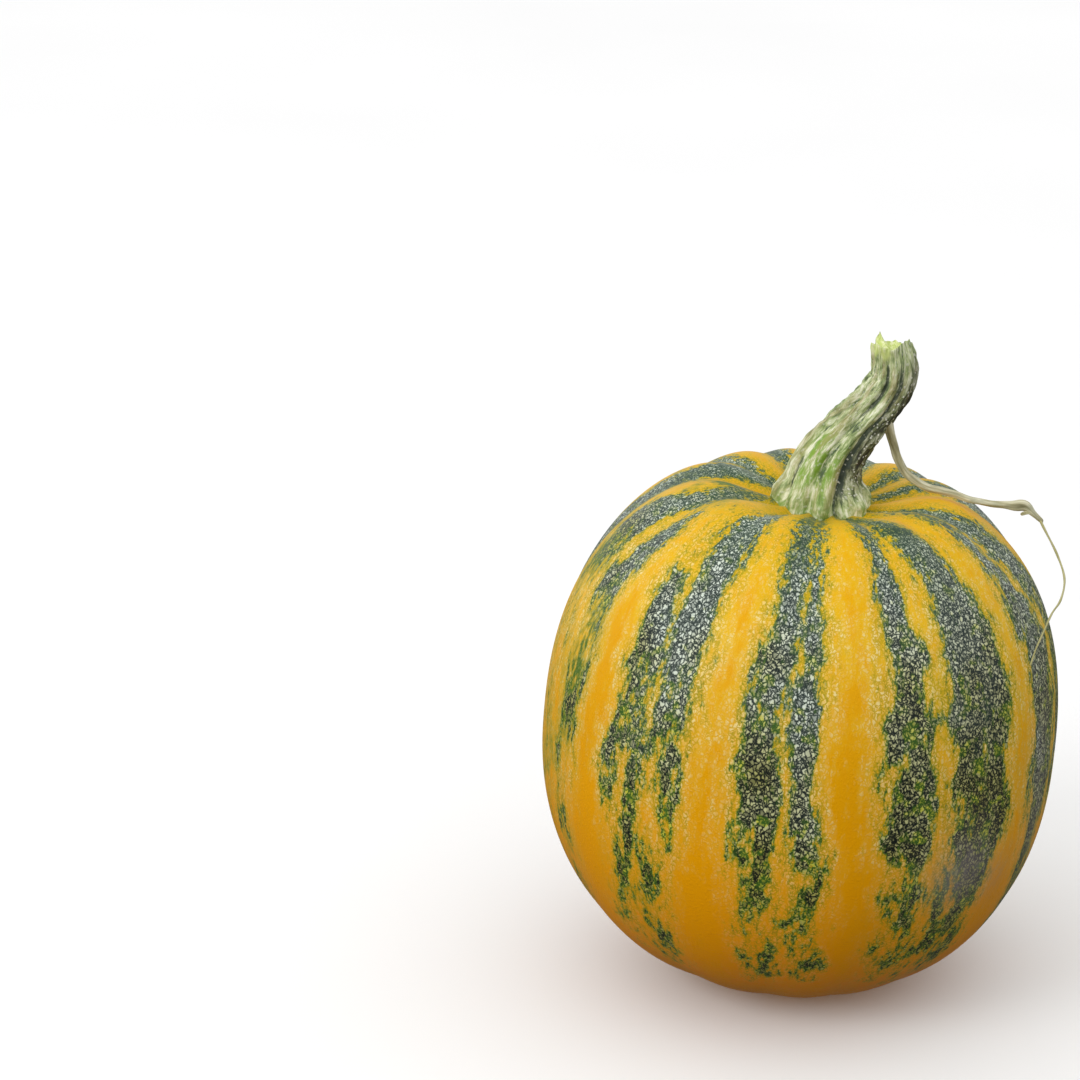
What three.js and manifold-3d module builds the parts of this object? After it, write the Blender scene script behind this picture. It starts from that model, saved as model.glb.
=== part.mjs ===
// A ripe oil pumpkin as picked: the ribbed fruit, the torn stem on its crown and the dried tendril
// that grew out of the stem.
//
// Millimetres, +Z up. The fruit stands on the flat spot under its blossom end, and the origin is the
// middle of that spot. Azimuths run round the fruit's own axis in degrees, 0 towards -Y and 90
// towards +X. Latitudes are the angle parameter of the fruit's outline, 0 at the girth, 90 at the crown.
import * as THREE from "three";
import { mergeVertices } from "three/addons/utils/BufferGeometryUtils.js";
import Module from "manifold-3d";

// Fruit
const girthRadius = 110;
const crownHeight = 121.5; // girth to the top of the outline, before the dip is taken away
const crownFullness = 2.4; // 2 is an ellipse, and more has squarer shoulders
const baseHeight = 111; // girth to the blossom end
const baseFullness = 2.24;
const dipDepth = 17; // hollow round the stem
const dipRadius = 40;
const dipSteepness = 3;
const leanDegrees = 4.4; // the crown leans towards +X
const restDepth = 3; // how much of the blossom end is pressed flat

// Ribs and the valleys between them. The list starts with its last rib and ends with its first rib
// again, a whole turn away, so that every azimuth lies between two of its numbers.
const ribAzimuths = [-195, -168, -145, -116, -85, -54, -22, 9, 32, 54, 84, 114, 140, 165, 192];
const usualRibGap = 32; // degrees, and a narrower gap has a shallower valley
const crownValley = 3.2;
const girthValley = 0.8;
const baseValley = 0.9;
const creaseSoftness = 1.4; // 1 is a sharp crease at the bottom of each valley
const valleyFadeRadius = 30; // nearer the axis the valleys fade away

// Stem
const stemRise = 69;
const stemReach = 28; // how far the tip stands out towards +X
const stemFootRadius = 22.3;
const stemTipRadius = 8.4;
const stemTaper = 0.3; // share of the stem's length over which the foot narrows
const stemRidges = 8;
const stemRidgeDepth = 0.9;
const footLobeDepth = 1.6; // more of a ridge where it spreads over the crown
const fibreHeight = 5; // the torn splinter on the tip
const fibreAngle = THREE.MathUtils.degToRad(-142);
const fibreHalfAngle = 0.22; // radians
const tornSlope = 1.6; // the tip is torn lower on one side
const tornSlopeAngle = THREE.MathUtils.degToRad(130);
const tornEdge = 0.5; // unevenness of the rest of the tip

// Tendril
const rootShare = 0.6; // how far up the stem the tendril grows
const rootRadius = 2.9;
const rootTaper = 0.06; // share of the arm's length over which the root narrows
const rootStandOff = 3.5; // how far the arm runs straight out of the stem before it hangs down
const armRadius = 1.5;
const knotRadius = 2.3;
const knotShare = 0.86; // how far along the arm the knot is
const knotHalfLength = 0.05;
const nibRadius = 0.9;
const strandRadius = 0.5;
const stubRadius = 0.8;

const seatGap = 0.3; // the thin joint between two pieces that grow on each other

// Steps of the facets
const fruitSides = 80;
const fruitRings = 34;
const stemSides = 48;
const stemSteps = 24;
const tendrilSides = 8;
const armSteps = 32;
const strandSteps = 36;
const stubSteps = 4;

// The stem's route above the middle of the dip, as shares of its reach and rise. It starts inside the
// fruit, which then cuts its foot.
const stemRoute = [
  [-0.03, -0.07],
  [0.03, 0.19],
  [0.16, 0.33],
  [0.36, 0.44],
  [0.62, 0.57],
  [0.86, 0.69],
  [0.99, 0.79],
  [1.02, 0.88],
  [1.01, 1.0],
];

// The tendril's routes as azimuth, latitude and height over the skin.
const armRoute = [
  [90, 78.5, 14.5],
  [90, 72.5, 4.8],
  [90, 66, 2.7],
  [88, 61.5, 3.6],
  [87, 57, 7.4],
  [86, 53.5, 12.3],
  [86, 51, 16.5],
  [85.5, 49, 17],
  [85.5, 46, 17.6],
];
const strandRoute = [
  [85.5, 47, 17.3],
  [84, 45, 16.7],
  [81, 39.5, 15.9],
  [76, 35.5, 15.7],
  [71, 33, 13.1],
  [66, 32, 10.7],
  [60, 29.5, 8.6],
  [56, 27.5, 7.8],
  [52, 25, 8.1],
];
const stubRoute = [
  [85.5, 49, 17],
  [85.5, 50, 15],
  [86, 50.5, 12.5],
];

const wasm = await Module();
wasm.setup();

// Where the fruit's own frame, with its axis along Z and its middle at the girth, stands in the part.
const fruitFrame = new THREE.Matrix4()
  .makeRotationY(THREE.MathUtils.degToRad(leanDegrees))
  .setPosition(0, 0, baseHeight - restDepth);

// Radius and height of the fruit's outline on the crest of a rib.
function outline(latitude) {
  const isCrown = latitude > 0;
  const power = 2 / (isCrown ? crownFullness : baseFullness);
  const radius = girthRadius * Math.max(Math.cos(latitude), 0) ** power;
  const rise = Math.abs(Math.sin(latitude)) ** power * (isCrown ? crownHeight : -baseHeight);
  const dip = isCrown ? dipDepth * Math.exp(-((radius / dipRadius) ** dipSteepness)) : 0;
  return new THREE.Vector2(radius, rise - dip);
}

// How far the skin lies under the crest of the ribs at a point of the fruit's own frame.
function valleyDepth(point) {
  const azimuth = THREE.MathUtils.radToDeg(Math.atan2(point.x, -point.y));
  const next = ribAzimuths.findIndex((rib) => rib >= azimuth);
  const gap = ribAzimuths[next] - ribAzimuths[next - 1];
  const share = (azimuth - ribAzimuths[next - 1]) / gap;
  const wave = 1 - Math.abs(Math.cos(Math.PI * share)) ** creaseSoftness;
  const isCrown = point.z > 0;
  const towardsPole = (point.z / (isCrown ? crownHeight : baseHeight)) ** 2;
  const deepest = THREE.MathUtils.lerp(girthValley, isCrown ? crownValley : baseValley, towardsPole);
  const fade = THREE.MathUtils.smoothstep(Math.hypot(point.x, point.y), 0, valleyFadeRadius);
  return deepest * wave * fade * Math.min(1, gap / usualRibGap);
}

// A point over the skin, in the part's frame.
function overSkin([azimuth, latitude, height]) {
  const { x: radius, y: rise } = outline(THREE.MathUtils.degToRad(latitude));
  const turn = THREE.MathUtils.degToRad(azimuth);
  const point = new THREE.Vector3(radius * Math.sin(turn), -radius * Math.cos(turn), rise);
  return point.setLength(point.length() + height).applyMatrix4(fruitFrame);
}

// A geometry with its shared vertices merged, and each vertex put where move takes it.
function reshaped(geometry, move) {
  geometry.deleteAttribute("normal");
  geometry.deleteAttribute("uv");
  const shape = mergeVertices(geometry);
  const places = shape.getAttribute("position");
  const point = new THREE.Vector3();
  for (let i = 0; i < places.count; i += 1) {
    move(point.fromBufferAttribute(places, i));
    places.setXYZ(i, point.x, point.y, point.z);
  }
  return shape;
}

// The fruit, grown outwards by a given amount.
function fruitShape(growth) {
  const outlinePoints = [];
  for (let ring = 0; ring <= fruitRings; ring += 1) {
    outlinePoints.push(outline(Math.PI * (ring / fruitRings - 0.5)));
  }
  const body = new THREE.LatheGeometry(outlinePoints, fruitSides).rotateX(Math.PI / 2);
  return reshaped(body, (point) => {
    point.setLength(point.length() + growth - valleyDepth(point)).applyMatrix4(fruitFrame);
    point.z = Math.max(point.z, 0);
  });
}

// A closed rod along a route. radiusAt and riseAt take the share of the length and the angle round it,
// and riseAt moves the wall along the route.
function rod(route, sides, steps, radiusAt, riseAt = () => 0) {
  const { normals, binormals, tangents } = route.computeFrenetFrames(steps);
  return reshaped(new THREE.CylinderGeometry(1, 1, 1, sides, steps), (point) => {
    const share = point.y + 0.5;
    const step = Math.round(share * steps);
    const across = Math.hypot(point.x, point.z);
    const angle = Math.atan2(point.x, point.z);
    const reach = across * radiusAt(share, angle);
    point
      .copy(route.getPointAt(share))
      .addScaledVector(normals[step], reach * Math.cos(angle))
      .addScaledVector(binormals[step], reach * Math.sin(angle))
      .addScaledVector(tangents[step], across * riseAt(share, angle));
  });
}

function stemRadius(share, angle) {
  const foot = Math.exp(-share / stemTaper);
  const round = stemTipRadius + (stemFootRadius - stemTipRadius) * foot;
  return round + (stemRidgeDepth + footLobeDepth * foot) * Math.cos(stemRidges * angle);
}

// The torn tip: an uneven edge with one splinter of fibre.
function tipRise(share, angle) {
  if (share < 1) return 0;
  const splinter = fibreHeight * Math.exp(-(((angle - fibreAngle) / fibreHalfAngle) ** 2));
  return splinter + tornSlope * Math.cos(angle - tornSlopeAngle) + tornEdge * Math.cos(3 * angle);
}

const dipMiddle = new THREE.Vector3(0, 0, outline(Math.PI / 2).y).applyMatrix4(fruitFrame);
const stemCurve = new THREE.CatmullRomCurve3(
  stemRoute.map(([out, up]) => new THREE.Vector3(out * stemReach, 0, up * stemRise).add(dipMiddle)),
);

// The stem before its foot is cut, grown outwards by a given amount.
function stemShape(growth) {
  const radiusAt = (share, angle) => stemRadius(share, angle) + growth;
  return rod(stemCurve, stemSides, stemSteps, radiusAt, tipRise);
}

function armShape() {
  const middle = stemCurve.getPointAt(rootShare);
  const along = stemCurve.getTangentAt(rootShare);
  const outwards = new THREE.Vector3(along.z, 0, -along.x);
  const clear = stemRadius(rootShare, Math.PI / 2) + rootStandOff;
  const leaving = middle.clone().addScaledVector(outwards, clear);
  const curve = new THREE.CatmullRomCurve3([middle, leaving, ...armRoute.map(overSkin)]);
  return rod(curve, tendrilSides, armSteps, (share) => {
    const root = (rootRadius - armRadius) * Math.exp(-share / rootTaper);
    const knot = (knotRadius - armRadius) * Math.exp(-(((share - knotShare) / knotHalfLength) ** 2));
    const thin = (armRadius - nibRadius) * THREE.MathUtils.smoothstep(share, knotShare, 1);
    return armRadius + root + knot - thin;
  });
}

function strandShape() {
  const curve = new THREE.CatmullRomCurve3(strandRoute.map(overSkin));
  return rod(curve, tendrilSides, strandSteps, () => strandRadius);
}

function stubShape() {
  const curve = new THREE.CatmullRomCurve3(stubRoute.map(overSkin));
  return rod(curve, tendrilSides, stubSteps, () => stubRadius);
}

function solidOf(geometry) {
  const mesh = new wasm.Mesh({
    numProp: 3,
    vertProperties: geometry.getAttribute("position").array,
    triVerts: new Uint32Array(geometry.index.array),
  });
  return new wasm.Manifold(mesh);
}

function geometryOf(solid) {
  const mesh = solid.getMesh();
  return new THREE.BufferGeometry()
    .setAttribute("position", new THREE.BufferAttribute(mesh.vertProperties, 3))
    .setIndex(new THREE.BufferAttribute(mesh.triVerts, 1));
}

function piece(name, geometry, color, roughness) {
  geometry.computeVertexNormals();
  const mesh = new THREE.Mesh(geometry, new THREE.MeshStandardMaterial({ color, roughness, metalness: 0 }));
  mesh.name = name;
  return mesh;
}

const stemSolid = solidOf(stemShape(0)).subtract(solidOf(fruitShape(seatGap)));
const tendrilSolid = solidOf(armShape())
  .subtract(solidOf(stemShape(seatGap)))
  .add(solidOf(strandShape()))
  .add(solidOf(stubShape()));

const pumpkin = new THREE.Group();
pumpkin.add(piece("fruit", fruitShape(0), 0xe2a20f, 0.38));
pumpkin.add(piece("stem", geometryOf(stemSolid), 0x8a9a5b, 0.7));
pumpkin.add(piece("tendril", geometryOf(tendrilSolid), 0xb5ad83, 0.75));

export default pumpkin;
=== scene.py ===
import math

import bpy
import numpy as np
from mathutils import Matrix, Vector, noise as bumps


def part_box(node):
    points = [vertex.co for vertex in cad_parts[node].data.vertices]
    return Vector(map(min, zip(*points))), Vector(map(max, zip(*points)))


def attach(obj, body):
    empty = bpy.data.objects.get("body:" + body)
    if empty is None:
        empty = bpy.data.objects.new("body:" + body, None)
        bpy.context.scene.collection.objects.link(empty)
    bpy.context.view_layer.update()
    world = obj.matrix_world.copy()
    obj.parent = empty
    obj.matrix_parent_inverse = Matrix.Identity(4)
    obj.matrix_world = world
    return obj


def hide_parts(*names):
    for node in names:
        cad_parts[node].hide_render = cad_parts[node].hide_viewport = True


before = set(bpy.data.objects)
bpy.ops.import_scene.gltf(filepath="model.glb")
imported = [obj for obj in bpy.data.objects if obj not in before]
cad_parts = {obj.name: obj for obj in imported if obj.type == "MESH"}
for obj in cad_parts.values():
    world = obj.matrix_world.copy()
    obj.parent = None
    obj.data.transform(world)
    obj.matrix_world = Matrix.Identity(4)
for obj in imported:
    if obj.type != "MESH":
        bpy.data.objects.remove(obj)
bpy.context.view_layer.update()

MM = 0.001

# The fruit: an upright body, nearly round, with a dip round its stem, leaning a little to +X.
GIRTH_RADIUS = 110 * MM
CROWN_HEIGHT = 121.5 * MM
CROWN_FULLNESS = 2.4
BASE_HEIGHT = 111 * MM
BASE_FULLNESS = 2.24
DIP_DEPTH = 17 * MM
DIP_RADIUS = 40 * MM
DIP_STEEPNESS = 3
LEAN = math.radians(4.4)
REST_DEPTH = 3 * MM
GIRTH_LEVEL = BASE_HEIGHT - REST_DEPTH

# Its ribs, by the direction of each crest in degrees from the front, and the creases between them.
RIBS = np.array([-195, -168, -145, -116, -85, -54, -22, 9, 32, 54, 84, 114, 140, 165, 192], float)
USUAL_RIB_GAP = 32
CROWN_CREASE = 3.2 * MM
GIRTH_CREASE = 0.8 * MM
BASE_CREASE = 0.9 * MM
CREASE_SOFTNESS = 1.4
CREASE_FADE_RADIUS = 30 * MM
SWELL = 0.35 * MM

# Dark stripes lie in the creases. Each is a run of places from the crown down: latitude, left edge and
# right edge in degrees, and how closely the dark covers it, from 1 for solid to -1 for bare.
STRIPES = {
    "back left": [
        (82, -138, -114, 0.4), (76, -135, -108, 0.8), (70, -124, -102, 0.9), (62, -113, -99, 1.0),
        (50, -109, -98, 1.0), (28, -110, -98, 1.0), (16, -110, -99, 0.6), (6, -109, -100, 0.1),
        (-6, -108, -100, 0.4), (-20, -107, -100, -0.1), (-38, -106, -101, -0.4), (-50, -105, -102, -1.0),
    ],
    "far left": [
        (80, -90, -76, 0.1), (75, -88, -70, 0.25), (70, -80, -66, 0.7), (65, -78, -66, 0.8),
        (60, -80, -69, 0.8), (55, -88, -72, 0.8), (49, -91, -74, 0.8), (43, -90, -77, 0.3),
        (36, -89, -79, -0.3), (15, -88, -80, -0.7), (-12, -86, -80, -1.0),
    ],
    "left": [
        (62, -63, -60, -0.5), (59, -64, -59, 0.5), (54, -66, -58, 0.9), (48, -68, -60, 0.9),
        (44, -71, -61, 0.8), (38, -73, -63, 0.7), (32, -75, -65, 0.3), (27, -76, -66, -0.1),
        (18, -73, -64, -0.3), (5, -71, -65, -0.45), (-6, -71, -66, -0.8), (-12, -73, -67, -0.6),
        (-17, -73, -67, -0.05), (-23, -72, -67, -0.7), (-30, -72, -66, -0.1), (-38, -70, -66, -1.0),
    ],
    "left front, outer half": [
        (47, -48, -44, -0.6), (43, -50, -43, 0.7), (36, -50, -41.5, 0.9), (25, -49, -41, 0.9),
        (18, -49, -41, 0.6), (10, -50, -41, 0.35), (2, -51, -41, 0.05), (-5, -47, -41, -0.3),
        (-16, -46, -41, 0.15), (-22, -46, -41, -0.4), (-30, -47, -41, -0.3), (-44, -46, -40, -0.9),
    ],
    "left front, inner half": [
        (82, -36, -25, 0.5), (72, -38, -27, 0.8), (64, -44, -28, 1.0), (55, -43, -29, 1.0),
        (46, -41.5, -31, 1.0), (36, -42, -30, 1.0), (26, -41, -30, 1.0), (18, -40, -31, 0.3),
        (10, -40, -31, 0.6), (4, -41, -31, 0.35), (-3, -38, -32, -0.4), (-17, -39, -34, 0.05),
        (-26, -39, -34, -0.6), (-36, -39, -35, 0.0), (-46, -38, -35, -1.0),
    ],
    "front, outer half": [
        (82, -15, -8, 0.4), (70, -17, -9, 0.5), (62, -16, -7, 1.0), (50, -16, -7, 1.0),
        (38, -15, -7, 1.0), (25, -17, -8, 1.0), (15, -19, -9, 0.6), (5, -17, -8, 1.0),
        (-5, -17, -8, 1.0), (-12, -14, -7, 0.7), (-20, -13, -7, 0.0), (-28, -12, -7, -0.5),
        (-36, -12, -8, -0.1), (-46, -11, -8, -1.0),
    ],
    "front, inner half": [
        (80, -7, -2, 0.3), (68, -8, -3, 0.7), (60, -8, -4, 0.9), (50, -8, -3, 0.9),
        (40, -8, -2, 0.9), (32, -7, -2, 0.8), (25, -9, -2, 0.7), (15, -9, -2, 1.0),
        (5, -6, -1, 0.8), (-4, -6, 0, 0.8), (-9, -4, 1, -0.3), (-14, -1, 3, 0.5),
        (-20, -5, 3, 0.6), (-26, -2, 2, -0.6), (-34, 1, 5, 0.1), (-42, -2, 4, -1.0),
    ],
    "right front, inner half": [
        (80, 8, 16, 0.5), (72, 10, 18, 0.6), (67, 11, 20, 0.9), (60, 13, 20, 0.9), (50, 13, 21, 0.9),
        (42, 14, 21, 1.0), (34, 14, 25, 1.0), (27, 14, 24, 0.8), (18, 13, 25, 1.0),
        (11, 14, 26, 0.6), (4, 15, 27, 1.0), (-3, 16, 28, 0.8), (-8, 18, 27, -0.3),
        (-13, 15, 28, 0.4), (-20, 20, 27, -0.1), (-30, 20, 28, -0.1), (-44, 21, 26, -0.9),
    ],
    "right front, outer half": [
        (82, 18, 27, 0.6), (74, 21, 29, 0.9), (70, 22, 33, 1.0), (65, 23, 38, 1.0), (60, 26, 41, 1.0),
        (54, 28, 43, 1.0), (49, 29, 43, 1.0), (44, 29, 46, 1.0), (30, 30, 49, 1.0), (20, 29, 49, 1.0),
        (8, 31, 47, 1.0), (0, 31, 48, 0.9), (-6, 31, 46, 0.7), (-15, 31, 45, 0.4),
        (-26, 32, 43, 0.1), (-36, 32, 42, -0.2), (-48, 34, 42, -1.0),
    ],
    "right, inner half": [
        (80, 52, 56, -0.3), (74, 52, 58, 0.0), (70, 52, 60, 0.4), (58, 56, 64, 0.7),
        (50, 57, 66, 0.7), (45, 57, 69, 0.9), (38, 57, 72, 1.0), (28, 58, 75, 1.0),
        (15, 59, 75, 0.9), (0, 59, 71, 0.8), (-12, 60, 70, 0.4), (-26, 60, 70, 0.0), (-42, 61, 68, -0.7),
    ],
    "right, outer half": [
        (80, 62, 72, 0.4), (70, 60, 73, 0.8), (64, 63, 75, 0.9), (57, 66, 78, 1.0), (50, 69, 80, 1.0),
        (42, 72, 84, 0.9), (34, 76, 88, 0.8), (25, 79, 89, 0.9), (12, 78, 88, 0.6), (0, 76, 86, 0.3),
        (-12, 76, 83, -0.1), (-38, 76, 82, -0.8),
    ],
}
# Round the back each stripe has the same build: its middle, half width and the latitude it breaks at.
BACK_STRIPES = [(107, 8, 8), (130, 7, 2), (153, 7, -6), (177, 8, 4), (200, 8, 10), (228, 7, 0)]
# In millimetres: how deep the dark lies in a solid stripe, how much of that a degree past the stripe's
# last place takes away, and how deep it lies far from any stripe.
SOLID_DEPTH = 5.2
ENDING_PER_DEGREE = 2.0
FAR_OUTSIDE = -40.0
# Patches of unripe green: direction, latitude, and their half width and half height in degrees, strength.
GREEN_PATCHES = [
    (-69, 16, 6, 20, 1.0), (-85, 38, 8, 14, 0.9), (-86, 72, 10, 10, 0.8), (-78, -5, 14, 34, 0.45),
    (-70, -22, 7, 18, 0.5), (-45, 6, 7, 14, 0.35), (-41, -20, 9, 22, 0.45), (-64, 70, 12, 9, 0.6),
    (-6, 70, 12, 8, 0.3), (20, 74, 14, 10, 0.3), (38, 18, 14, 28, 0.5), (24, -18, 9, 20, 0.3),
    (76, 20, 8, 26, 0.35), (128, 20, 10, 22, 0.35), (205, 12, 9, 26, 0.4),
]
# Places rubbed grey against the ground, given in the same way.
RUBBED_PATCHES = [(37, -10, 9, 8, 0.85), (47, -13, 8, 8, 0.4), (64, -2, 8, 20, 0.35)]
SCAR_RADII = (6 * MM, 9 * MM)
SCAR_WAVE = 1.5 * MM

# Sizes of the rind's patterns, and how little they crowd together where the skin narrows to the poles.
BLOTCH_SIZE = 10.5 * MM
TOOTH_SIZE = 2.6 * MM
LINE_SPACING = 2.4 * MM
CELL_SIZE = 1.7 * MM
CELL_BEND_SIZE = 2.1 * MM
CELL_BEND = 3.4 * MM
TINT_SIZE = 30 * MM
ISLAND_SIZE = 7 * MM
WARM_STREAK_SIZE = 6 * MM
RIND_RELIEF = 0.12 * MM
CROWDING = 0.55
LEAST_STRIPE_RADIUS = 12 * MM

# The stem: its route from the dip, in shares of its reach towards +X and of its rise.
STEM_RISE = 69 * MM
STEM_REACH = 28 * MM
STEM_ROUTE = [
    (-0.03, -0.07), (0.03, 0.19), (0.16, 0.33), (0.36, 0.44), (0.62, 0.57),
    (0.86, 0.69), (0.99, 0.79), (1.02, 0.88), (1.01, 1.0),
]
STEM_FOOT_RADIUS = 22.3 * MM
STEM_TIP_RADIUS = 8.4 * MM
STEM_TAPER = 0.3
STEM_RIDGES = 8
RIDGE_DEPTH = 0.9 * MM
FOOT_LOBE_DEPTH = 1.6 * MM
KNOB_HEIGHT = 1.7 * MM
KNOB_SHARE = 0.12
KNOB_HALF_LENGTH = 0.05
LUMP_HEIGHT = 0.75 * MM
FINE_LUMP_HEIGHT = 0.3 * MM
GROOVE_DEPTH = 0.9 * MM
# The torn tip: where its splinter, lip and collar stand round it, how wide they are and how high.
SPLINTER_HEIGHT = 4.4 * MM
SPLINTER_TURN = math.radians(-142)
SPLINTER_HALF_TURN = 0.16
LIP_HEIGHT = 2.8 * MM
LIP_TURN = math.radians(-58)
LIP_HALF_TURN = math.radians(44)
LIP_FLARE = 0.7 * MM
COLLAR_HEIGHT = 4.0 * MM
COLLAR_TURN = math.radians(48)
COLLAR_HALF_TURN = math.radians(48)
SHOULDER_DROP = 2.6 * MM
HOLLOW_DEPTH = 2.6 * MM
TORN_UNEVENNESS = 0.35 * MM
TIP_SHARE = 0.9
# The deeper grooves of the stem: direction and half width in degrees, and how far each wanders.
MAIN_GROOVES = [(-18, 8, 0.12), (28, 7, 0.1), (62, 9, 0.08), (-75, 6, 0.1), (120, 8, 0.1), (-150, 8, 0.12)]
# What the stem's patterns are laid on, and their sizes.
BARK_RADIUS = 14 * MM
BARK_LENGTH = 75 * MM
PITH_LENGTH = 8 * MM
FIBRE_SPACING = 1.9 * MM
BROAD_STREAK_SIZE = 6 * MM
WART_SPACING = 1.7 * MM
BARK_RELIEF = 0.5 * MM

# The tendril: places over the skin as direction and latitude in degrees and height over it in millimetres.
ARM_ROOT_SHARE = 0.6
ROOT_INSIDE = 5.5 * MM
ROOT_OUTSIDE = 1.2 * MM
ROOT_HIGHER = 0.06
ARM_ROUTE = [
    (90, 78.5, 14.5), (90, 72.5, 4.8), (90, 66, 2.7), (88, 61.5, 3.6), (87, 57, 7.4),
    (86, 53.5, 12.3), (86, 51, 16.5), (85.5, 49, 17), (85.5, 46, 17.6),
]
STRAND_ROUTE = [
    (85.5, 47, 17.3), (84, 45, 16.7), (81, 39.5, 15.9), (76, 35.5, 15.7), (71, 33, 13.1),
    (66, 32, 10.7), (60, 29.5, 8.6), (56, 27.5, 7.8), (52, 25, 8.1),
]
STUB_ROUTE = [(85.5, 49, 17), (85.5, 50, 15), (86, 50.5, 12.5)]
ROOT_RADIUS = 2.9 * MM
ARM_RADIUS = 1.5 * MM
KNOT_RADIUS = 2.3 * MM
KNOT_SHARE = 0.86
KNOT_HALF_LENGTH = 0.05
NIB_RADIUS = 0.9 * MM
STRAND_RADIUS = 0.5 * MM
STUB_RADIUS = 0.8 * MM
TENDRIL_FIBRE_SPACING = 1.1 * MM
STAIN_SIZE = 7 * MM
TENDRIL_RELIEF = 0.3 * MM

# How fine the curves and the meshes are: cells round and along each.
CURVE_STEPS = 60
OUTLINE_STEPS = 721
FRUIT_CELLS = (400, 210)
STEM_CELLS = (192, 150)
TIP_ROWS = 14
ARM_CELLS = (28, 170)
STRAND_CELLS = (14, 170)
STUB_CELLS = (18, 24)
MERGE_DISTANCE = 0.01 * MM


def linear(hex_colour):
    """An sRGB hex value such as "#E9B513" as linear red, green, blue and alpha."""
    parts = [int(hex_colour[i:i + 2], 16) / 255 for i in (1, 3, 5)]
    return [p / 12.92 if p <= 0.04045 else ((p + 0.055) / 1.055) ** 2.4 for p in parts] + [1.0]


def smooth(low, high, value):
    """0 under low, 1 over high, and an even turn between."""
    share = np.clip((value - low) / (high - low), 0, 1)
    return share * share * (3 - 2 * share)


# ---------------------------------------------------------------- shape of the fruit

def outline(latitude):
    """Radius and height of the crest of a rib at each latitude, in radians."""
    crown = latitude > 0
    power = np.where(crown, 2 / CROWN_FULLNESS, 2 / BASE_FULLNESS)
    radius = GIRTH_RADIUS * np.clip(np.cos(latitude), 0, 1) ** power
    rise = np.abs(np.sin(latitude)) ** power * np.where(crown, CROWN_HEIGHT, -BASE_HEIGHT)
    dip = DIP_DEPTH * np.exp(-(radius / DIP_RADIUS) ** DIP_STEEPNESS)
    return radius, rise - np.where(crown, dip, 0)


def crease_depth(azimuth, radius, rise):
    """How far the skin lies under the crest of the ribs; azimuth is in degrees from -180 to 180."""
    after = np.clip(np.searchsorted(RIBS, azimuth), 1, len(RIBS) - 1)
    gap = RIBS[after] - RIBS[after - 1]
    share = (azimuth - RIBS[after - 1]) / gap
    wave = 1 - np.abs(np.cos(np.pi * share)) ** CREASE_SOFTNESS
    towards_pole = (rise / np.where(rise > 0, CROWN_HEIGHT, BASE_HEIGHT)) ** 2
    deepest = GIRTH_CREASE + (np.where(rise > 0, CROWN_CREASE, BASE_CREASE) - GIRTH_CREASE) * towards_pole
    return deepest * wave * smooth(0, CREASE_FADE_RADIUS, radius) * np.minimum(1, gap / USUAL_RIB_GAP)


def stood_up(points):
    """Points of the fruit's own frame, leaned and raised to where the fruit stands."""
    x, y, z = points.T
    return np.stack([
        x * math.cos(LEAN) + z * math.sin(LEAN),
        y,
        z * math.cos(LEAN) - x * math.sin(LEAN) + GIRTH_LEVEL,
    ], axis=1)


def skin_points(azimuth, latitude, height=0.0, creased=True):
    """Places on or over the skin. Azimuth and latitude are arrays in degrees."""
    azimuth, latitude = np.asarray(azimuth, float), np.asarray(latitude, float)
    radius, rise = outline(np.radians(latitude))
    turn = np.radians(azimuth)
    points = np.stack([radius * np.sin(turn), -radius * np.cos(turn), rise + 0 * turn], axis=1)
    length = np.linalg.norm(points, axis=1)
    grown = length + height
    if creased:
        wrapped_azimuth = (azimuth + 180) % 360 - 180
        grown = grown - crease_depth(wrapped_azimuth, radius, rise)
    return stood_up(points * (grown / length)[:, None])


def over_skin(places):
    """The points of a route given as direction, latitude and height in millimetres."""
    azimuth, latitude, height = np.array(places, float).T
    return skin_points(azimuth, latitude, height * MM, creased=False)


# ---------------------------------------------------------------- routes and rods

def evenly_along(points, count):
    """count places at even distances along a smooth curve through the points, and its directions."""
    points = np.asarray(points, float)
    ends = [2 * points[0] - points[1], 2 * points[-1] - points[-2]]
    knots = np.vstack([ends[0], points, ends[1]])
    pieces = []
    for before, start, stop, after in zip(knots, knots[1:], knots[2:], knots[3:]):
        gaps = [np.linalg.norm(b - a) ** 0.5 for a, b in ((before, start), (start, stop), (stop, after))]
        straight = (stop - start) / gaps[1]
        leaving = (start - before) / gaps[0] - (stop - before) / (gaps[0] + gaps[1]) + straight
        arriving = straight - (after - start) / (gaps[1] + gaps[2]) + (after - stop) / gaps[2]
        leaving, arriving = leaving * gaps[1], arriving * gaps[1]
        t = np.linspace(0, 1, CURVE_STEPS, endpoint=False)[:, None]
        bend = -3 * start + 3 * stop - 2 * leaving - arriving
        ease = 2 * start - 2 * stop + leaving + arriving
        pieces.append(start + leaving * t + bend * t ** 2 + ease * t ** 3)
    dense = np.vstack(pieces + [points[-1:]])
    travelled = np.concatenate([[0], np.cumsum(np.linalg.norm(np.diff(dense, axis=0), axis=1))])
    wanted = np.linspace(0, travelled[-1], count)
    route = np.stack([np.interp(wanted, travelled, dense[:, i]) for i in range(3)], axis=1)
    directions = np.gradient(route, axis=0)
    return route, directions / np.linalg.norm(directions, axis=1)[:, None]


def steady_sides(directions, first_side):
    """A sideways direction for each place of a route that turns with it and doesn't twist."""
    sides = []
    side = np.asarray(first_side, float)
    for direction in directions:
        side = side - direction * side.dot(direction)
        side = side / np.linalg.norm(side)
        sides.append(side)
    return np.array(sides)


# ---------------------------------------------------------------- making meshes

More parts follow.
